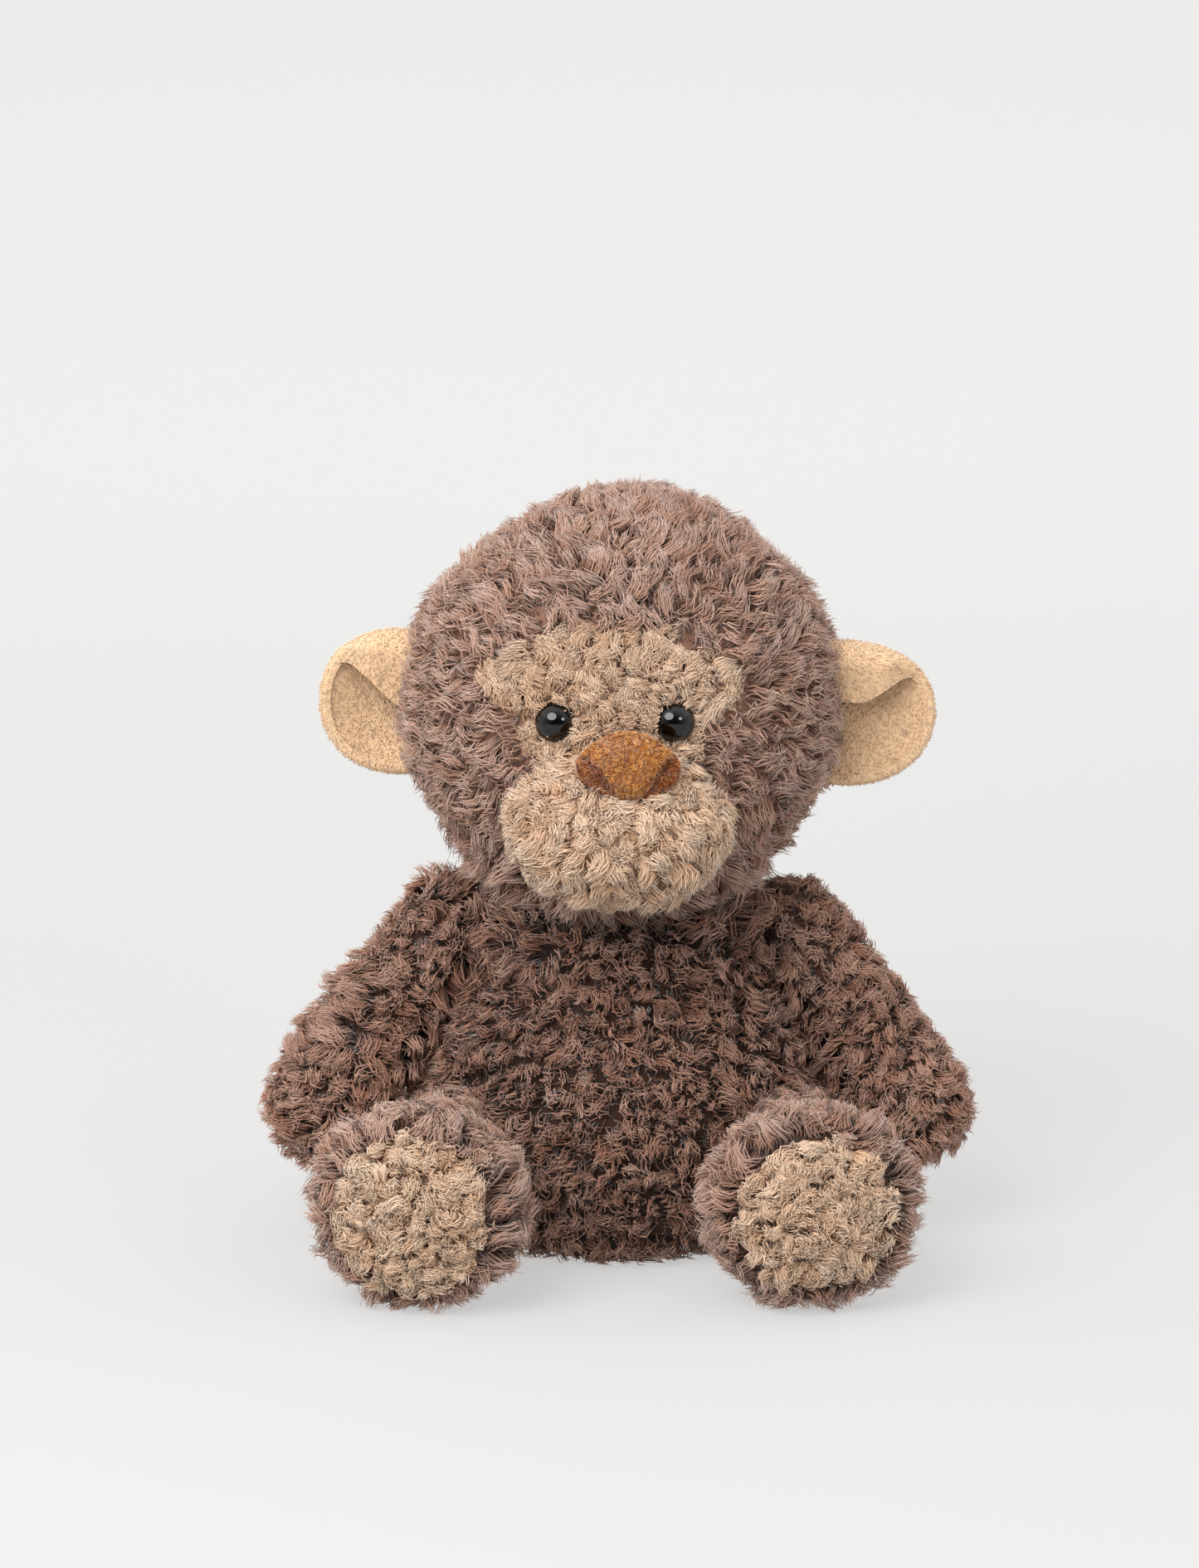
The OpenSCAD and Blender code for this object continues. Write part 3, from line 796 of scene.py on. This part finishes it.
def mask_flow(p, n):
    q = unroll(p)
    flow = np.stack([q[:, 0] * 12, np.zeros(len(q)), 0.5 + q[:, 2] * 14], -1)
    for e in EYE_AT:
        d = q - e
        r = np.linalg.norm(d[:, [0, 2]], axis=1)
        near = np.exp(-(r / (9 * MM)) ** 2)[:, None]
        flow = flow * (1 - near) + unit(np.stack([d[:, 0], 0 * r, d[:, 2]], -1)) * near * 1.6
    return flow + tangled((0, 0, 0), 91, 0.014)(p, n) * 0.8


HEAD_FUR = dict(lift=0.58, curl=0.0012, turns=0.9, lock=0.0046, clump=0.72, material=FUR_HEAD, spread=0.45)
crown = lambda m: (lune(m) > 69) & (lune(m) < 111)
left = lambda m: (lune(m) <= 69) | (lune(m) >= 270)
bare = lambda m: in_mask(m) | under_muzzle(m)
for name, node, count, keep in (
        ("head_crown_fur", "head_crown_panel", 8000, crown),
        ("head_left_fur", "head_left_panel", 13000, lambda m: ~crown(m) & left(m)),
        ("head_right_fur", "head_right_panel", 13000, lambda m: ~crown(m) & ~left(m))):
    v, f = part(hv, hf, lambda m: keep(m) & ~bare(m))
    o = fur(name, v, f, count, head_flow, head_length, seed=len(name) + 3, **HEAD_FUR)
    give(o, "head", "fur_light", node, fill=0.95)

v, f = part(hv, hf, lambda m: in_mask(m) & ~under_muzzle(m))
o = fur("face_mask_fur", v, f, 9000, mask_flow, mask_length, lift=0.55, curl=0.0009, turns=1.0, lock=0.0036,
        clump=0.7, stray=0.18, material=FUR_PALE_SHADED, spread=0.4, seed=17)
give(o, "head", "fur_beige", "face_mask", fill=0.95)

NOSE = middle("nose_cover")
NOSE_UP = np.array([0.7, -1.0, 4.3]) * MM
ring = [((MUZZLE_R - 3.6 * MM) * math.cos(t), (MUZZLE_R - 3.6 * MM) * math.sin(t)) for t in a]
mv, mf = lathe(ring, 48)
two = np.vstack([roll(unroll(mv + MUZZLE) + np.array([k * (CHEEK - 1 * MM), 0, 0])) for k in (1, -1)])
mf2 = list(mf) + [tuple(i + len(mv) for i in q) for q in mf]
mv, mf = stuffed("muzzle", two, mf2, 1.2 * MM, 0.004)
q, mid = unroll(mv), unroll(MUZZLE)
q[:, 0] = mid[0] + (q[:, 0] - mid[0]) * (1 - 0.16 * smooth(q[:, 2] - mid[2], 0, 22 * MM))
q[:, 2] += 1.4 * MM * smooth(mid[2] - q[:, 2], 0, 15 * MM)
mv = roll(q)


def muzzle_flow(p, n):
    away = unit(p - NOSE)
    return away + np.array([0, 0, -0.25]) + tangled((0, 0, 0), 95, 0.018)(p, n) * 0.5


def muzzle_length(p):
    return 4.6 * MM + 3.4 * MM * smooth(np.linalg.norm(p - NOSE, axis=1), 14 * MM, 34 * MM)


inside = lambda m: np.linalg.norm(m - HEAD, axis=1) < HEAD_R - 9 * MM
v, f = part(mv, mf, lambda m: ~inside(m) & (np.linalg.norm(m - NOSE - NOSE_UP, axis=1) > 7.5 * MM))
o = fur("muzzle_fur", v, f, 13000, muzzle_flow, muzzle_length, lift=0.5, curl=0.0011, turns=0.9, lock=0.0044,
        clump=0.7, stray=0.16, material=FUR_PALE, spread=0.3, seed=19)
give(o, "head", "fur_beige", "muzzle_cover", fill=0.9)


# ---------- nose ----------

LEAN = math.radians(24)
NOSE_W, NOSE_H = 14.2 * MM, 9.4 * MM


def nostrils(u, v):
    """Where the sunken sides of the nose lie, and the folds that part them from its middle plate."""
    half = 0.26 + 0.56 * np.clip((v + 1) / 1.3, 0, 1)
    low = 1 - smooth(v, 0.08, 0.40)
    return (smooth(np.abs(u) - half, -0.02, 0.12) * low,
            np.exp(-((np.abs(u) - half - 0.03) / 0.075) ** 2) * (1 - smooth(v, 0.12, 0.42)))


def nose_mesh():
    """Domed pad: a plate that narrows downwards, with a sunken nostril fold on each side of it."""
    n, m = 96, 40
    a = np.arange(n) * 2 * math.pi / n
    rho = np.linspace(0, 1, m + 1)[:, None]
    c, d = np.cos(a), np.sin(a)
    k = 1 / (np.abs(c) ** 2.3 + np.abs(d) ** 2.3) ** (1 / 2.3)
    u, v = rho * (c * k), rho * (d * k)
    u = u * (1 - 0.30 * smooth(v, 0.05, 1.0) - 0.14 * smooth(-v, 0.3, 1.0))
    dome = np.sqrt(np.clip(1 - rho ** 2.4, 0, 1))
    side_, fold = nostrils(u, v)
    depth = (6.4 * dome - (2.2 * side_ + 2.0 * fold) * np.minimum(1, dome * 1.8)) * MM
    pts = np.stack([u * NOSE_W, depth, v * NOSE_H], -1).reshape(-1, 3)
    faces = [(j * n + i, j * n + (i + 1) % n, (j + 1) * n + (i + 1) % n, (j + 1) * n + i)
             for j in range(m) for i in range(n)]
    rim = pts[-n:]
    for shrink, back in ((1.0, 3.0), (0.9, 6.0)):
        k = len(pts)
        faces += [(k - n + i, k - n + (i + 1) % n, k + (i + 1) % n, k + i) for i in range(n)]
        pts = np.vstack([pts, rim * np.array([shrink, 1, shrink]) - np.array([0, back * MM, 0])])
    faces.append(tuple(range(len(pts) - 1, len(pts) - n - 1, -1)))
    c, d = math.cos(LEAN), math.sin(LEAN)
    out = np.stack([pts[:, 0], -pts[:, 1] * c + pts[:, 2] * d, pts[:, 1] * d + pts[:, 2] * c], -1)
    return out, [tuple(reversed(q)) for q in faces]


nv, nf = nose_mesh()
face = np.array([0, -math.cos(LEAN), math.sin(LEAN)])
nose_at = unroll(NOSE + NOSE_UP)
core = nose_at + nv * 0.72 - face * 1.5 * MM
nv = roll(nose_at + nv)
tri = np.array([(q[0], q[k], q[k + 1]) for q in nf for k in range(1, len(q) - 1)])


def nose_flow(p, n):
    q = p - NOSE
    low = smooth(-q[:, 2], -3 * MM, 2 * MM)[:, None]
    side_ = np.stack([q[:, 0] * 40, np.zeros(len(q)), np.full(len(q), 0.15)], -1)
    return side_ * (1 - low) + np.array([0, 0, -1.0]) * low + 0.5 * tangled((0, 0, 0), 97, 0.006)(p, n)


# Painted shade: darkens the nose fuzz in its sunken sides and in the folds beside its middle plate.
def nose_fold_shade(p):
    q = unroll(p) - nose_at
    up_ = np.array([0, math.sin(LEAN), math.cos(LEAN)])
    side_, fold = nostrils(q[:, 0] / NOSE_W, (q @ up_) / NOSE_H)
    return 0.55 * side_ + 0.6 * fold - 0.25


o = fur("nose_velour", nv, tri, 11000, nose_flow, 1.7 * MM, lift=0.22, curl=0.0001, turns=0.3, lock=0.0011,
        clump=0.6, material=FUZZ_RUST, spread=0.2, seed=23, width=0.00016, loose=0.0001, steps=SHORT,
        tone_and_painted_shade=nose_fold_shade)
give(o, "head", "velour_rust", "nose_cover", fill=0.9)
o = mesh_object("nose_filling", roll(core), nf, FILLING)
give(o, "head", "filling", "nose_stuffing", fill=0.9)


# ---------- eyes ----------

EYE_NUDGE = {"left": np.array([-0.4, 1.2, 0.5]) * MM, "right": np.array([0.4, 1.2, -0.9]) * MM}

for side in ("left", "right"):
    prof = [(0, EYE_R)]
    for t in np.linspace(0.1, math.pi / 2, 18):
        prof.append((EYE_R * math.sin(t), EYE_R * math.cos(t) * 0.96 + 0.04 * EYE_R))
    prof += [(EYE_R, -0.6 * MM), (EYE_R * 0.93, -1.3 * MM)]
    prof += [(1.9 * MM, -1.6 * MM), (1.8 * MM, -12.6 * MM), (0, -13 * MM)]
    ev, ef = lathe(prof[::-1], 64)
    ev = aim(ev, EYES[side] + EYE_NUDGE[side], EYES[side] - HEAD)
    give(mesh_object(f"eye_{side}_dome", ev, ef, EYE), "head", "eye_plastic", f"eye_{side}")


# ---------- ears ----------

EAR_COLS, EAR_ROWS, FLAP_ROWS = 60, 24, 14


def ear_sheet(root, half, reach, flap):
    """Dished oval standing out to +x; flap(x, z) is how far its upper edge hangs forward over the cup."""
    t = np.linspace(-math.pi / 2 - 0.35, math.pi / 2 + 0.35, EAR_COLS + 1)

    def outline(rho):
        x = root + np.maximum(-1.5 * MM, reach * rho * (np.cos(t) + 0.18) / 1.18)
        return x, half * rho * np.sin(t) * (1 + 0.05 * np.cos(2 * t))

    rows = []
    for rho in np.linspace(0, 1, EAR_ROWS + 1):
        x, z = outline(rho)
        rows.append(np.stack([x, np.full_like(x, (3.4 - 6.4 * rho ** 2.2) * MM), z], -1))
    edge = rows[-1]
    hang = flap(edge[:, 0] - root, edge[:, 2]) + 1.2 * MM
    lean = np.minimum(hang * 0.5, 5 * MM)
    mid = unit(edge * np.array([1, 0, 1]) - np.array([root + 0.3 * reach, 0, 0]))
    down = np.where((hang > 2 * MM)[:, None], np.array([0, 0, -1.0]), -mid)
    for u in np.linspace(0, 1, FLAP_ROWS + 1)[1:]:
        puff = np.sin(math.pi * min(1, u / 0.35) / 2)
        out = edge + down * (hang * u)[:, None]
        out[:, 1] -= lean * puff * (1 - 0.35 * max(0, u - 0.35))
        out += mid * (0.9 * MM * math.sin(math.pi * min(1, u / 0.5)))
        rows.append(out)
    v = np.vstack(rows)
    n = EAR_COLS + 1
    faces = [(j * n + i, j * n + i + 1, (j + 1) * n + i + 1, (j + 1) * n + i)
             for j in range(len(rows) - 1) for i in range(EAR_COLS)]
    return v, faces, len(rows)


def ear_layer(sheet, s, offset, thick, at):
    """One cloth of the ear: the sheet moved along its own normal, with a thickness."""
    v, faces, rows = sheet
    tri = np.array([(a, b, c) for a, b, c, d in faces] + [(a, c, d) for a, b, c, d in faces])
    out = skin_normals(v, tri)
    k, n = len(v), EAR_COLS + 1
    both = np.vstack([v + out * (offset + thick / 2), v + out * (offset - thick / 2)])
    all_f = list(faces) + [tuple(i + k for i in reversed(q)) for q in faces]
    edge = [(rows - 1) * n + i for i in range(n)]
    for line in (edge, [j * n for j in range(rows)][::-1], [j * n + n - 1 for j in range(rows)]):
        all_f += [(line[i + 1], line[i], line[i] + k, line[i + 1] + k) for i in range(len(line) - 1)]
    both = both * np.array([s, 1, 1]) + at
    if s < 0:
        all_f = [tuple(reversed(q)) for q in all_f]
    return roll(both), all_f


def ear_flow(p, n):
    return unroll(p) * np.array([1, 0, 0.8]) * 20 + tangled((0, 0, 0), 99, 0.01)(p, n) * 0.5


for side, s in (("left", 1), ("right", -1)):
    lo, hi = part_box(f"ear_{side}_lining")
    at = unroll(middle(f"ear_{side}_lining"))
    half = (hi.z - lo.z) / 2 - 0.8 * MM
    root = abs(unroll(joint(f"ear_{side}_fold"))[0]) - 6 * MM
    reach = HEAD_R + (25.5 if s > 0 else 21.5) * MM - root
    if s > 0:
        flap = lambda x, z: 15 * MM * (1 - smooth(x, 8 * MM, 27 * MM)) * smooth(z, 4 * MM, 12 * MM)
    else:
        flap = lambda x, z: 20 * MM * (1 - smooth(x, 2 * MM, 24 * MM)) * smooth(z, 6 * MM, 14 * MM)
    sheet = ear_sheet(root, half, reach, flap)
    place = np.array([0, 0.5 * MM, at[2]])
    for layer, offset, thick in (("lining", 0.8 * MM, 0.9 * MM), ("back", -0.8 * MM, 0.9 * MM)):
        v, f = ear_layer(sheet, s, offset, thick, place)
        tri = np.array([(a, b, c) for a, b, c, d in f] + [(a, c, d) for a, b, c, d in f])
        o = fur(f"ear_{side}_{layer}_cloth", v, tri, 11000, ear_flow, 0.95 * MM, lift=0.7, curl=0.00005,
                turns=0.3, lock=0.0016, clump=0.04, material=FUZZ_TAN, spread=0.15, seed=29,
                width=0.00017, loose=0.0002, steps=SHORT)
        give(o, f"ear_{side}", "velour_tan", f"ear_{side}_{layer}")
    v, f = ear_layer(sheet, s, 0, 0.5 * MM, place)
    o = mesh_object(f"ear_{side}_wadding", v, f, FILLING)
    give(o, f"ear_{side}", "filling", f"ear_{side}_padding", fill=0.3)


# ---------- floor, light and camera ----------

def stage_material(name, near, away):
    """Matt paper that glows a little, greyer near the toy than far from it."""
    m, t, b = nodes_of(name)
    place = add(t, "ShaderNodeTexCoord")
    noise = add(t, "ShaderNodeTexNoise", Scale=6.0)
    t.links.new(place.outputs["Object"], noise.inputs["Vector"])
    t.links.new(fitted(t, noise.outputs["Fac"], 0.85, 0.95), b.inputs["Roughness"])
    where = add(t, "ShaderNodeSeparateXYZ")
    t.links.new(place.outputs["Object"], where.inputs["Vector"])
    far = fitted(t, where.outputs["Y"], near, away, -0.3, 2.1, "SMOOTHSTEP")
    grey = add(t, "ShaderNodeCombineColor")
    for channel in ("Red", "Green", "Blue"):
        t.links.new(far, grey.inputs[channel])
    t.links.new(grey.outputs["Color"], b.inputs["Base Color"])
    b.inputs["Specular IOR Level"].default_value = 0.1
    b.inputs["Emission Color"].default_value = (1, 0.995, 0.985, 1)
    b.inputs["Emission Strength"].default_value = 0.50
    return m


rows = [(-3.0, 0.0), (1.0, 0.0), (1.4, 0.0)]
rows += [(1.4 + 0.8 * math.sin(t), 0.8 - 0.8 * math.cos(t)) for t in np.linspace(0.1, math.pi / 2, 16)]
rows += [(2.2, 3.5)]
sv = [(x, y, z) for y, z in rows for x in (-4.0, 4.0)]
sf = [(2 * i, 2 * i + 1, 2 * i + 3, 2 * i + 2) for i in range(len(rows) - 1)]
floor = mesh_object("floor", np.array(sv), sf, stage_material("paper", 0.208, 0.40))

# The floor lies under the feet when the legs hang down, as when the toy is picked up
drop = min(LOWEST) - 2.5 * MM
for side in ("left", "right"):
    under = floor.constraints.new("TRANSFORM")
    under.target = frame["bodies"][f"leg_{side}"]
    under.map_from, under.map_to, under.map_to_z_from = "ROTATION", "LOCATION", "X"
    under.from_max_x_rot, under.to_max_z = SWING, drop
    under.mix_mode = "ADD"
low = floor.constraints.new("LIMIT_LOCATION")
low.use_min_z, low.min_z = True, drop

world = bpy.data.worlds.new("world")
world.use_nodes = True
sky = world.node_tree
place = add(sky, "ShaderNodeTexCoord")
split = add(sky, "ShaderNodeSeparateXYZ")
sky.links.new(place.outputs["Generated"], split.inputs["Vector"])
glow = fitted(sky, split.outputs["Y"], 0.1, 1.35, -0.95, -0.1, "SMOOTHSTEP")
sky.nodes["Background"].inputs["Color"].default_value = (1.0, 0.995, 0.99, 1)

# Low on both sides the sky is as grey as the paper, so no bright edge shows past the floor
across = worked(sky, "ABSOLUTE", split.outputs["X"])
aside = fitted(sky, across, 0.0, 0.38, 0.70, 0.85, "SMOOTHSTEP")
below = fitted(sky, split.outputs["Z"], 1.0, 0.0, 0.3, 0.5, "SMOOTHSTEP")
share = worked(sky, "SUBTRACT", 1.0, worked(sky, "MULTIPLY", aside, below))
sky.links.new(worked(sky, "MULTIPLY", glow, share), sky.nodes["Background"].inputs["Strength"])
bpy.context.scene.world = world


def area(name, place, target, size, power, colour=(1, 1, 1)):
    light = bpy.data.lights.new(name, "AREA")
    light.shape = "ELLIPSE"
    light.size, light.size_y = size
    light.energy = power
    light.color = colour
    o = bpy.data.objects.new(name, light)
    bpy.context.scene.collection.objects.link(o)
    o.location = place
    o.rotation_euler = (Vector(target) - Vector(place)).to_track_quat("-Z", "Y").to_euler()
    return o


area("key", (-0.5, -0.85, 0.9), (0, 0, 0.12), (1.05, 0.85), 16.5, (1, 0.985, 0.965))
area("fill", (0.9, -1.2, 0.8), (0, 0, 0.1), (0.5, 0.4), 4.5)

AIM = Vector((-0.0062, 0, 0.133))
UP = math.radians(12)
camera = bpy.data.cameras.new("camera")
camera.sensor_fit = "VERTICAL"
camera.sensor_height = 24
camera.lens = 72.6
camera.clip_start, camera.clip_end = 0.05, 20
eye = bpy.data.objects.new("camera", camera)
bpy.context.scene.collection.objects.link(eye)
eye.location = AIM + Vector((0, -math.cos(UP), math.sin(UP))) * 1.4
eye.rotation_euler = (AIM - eye.location).to_track_quat("-Z", "Y").to_euler()
bpy.context.scene.camera = eye
bpy.context.scene.view_settings.view_transform = "Standard"
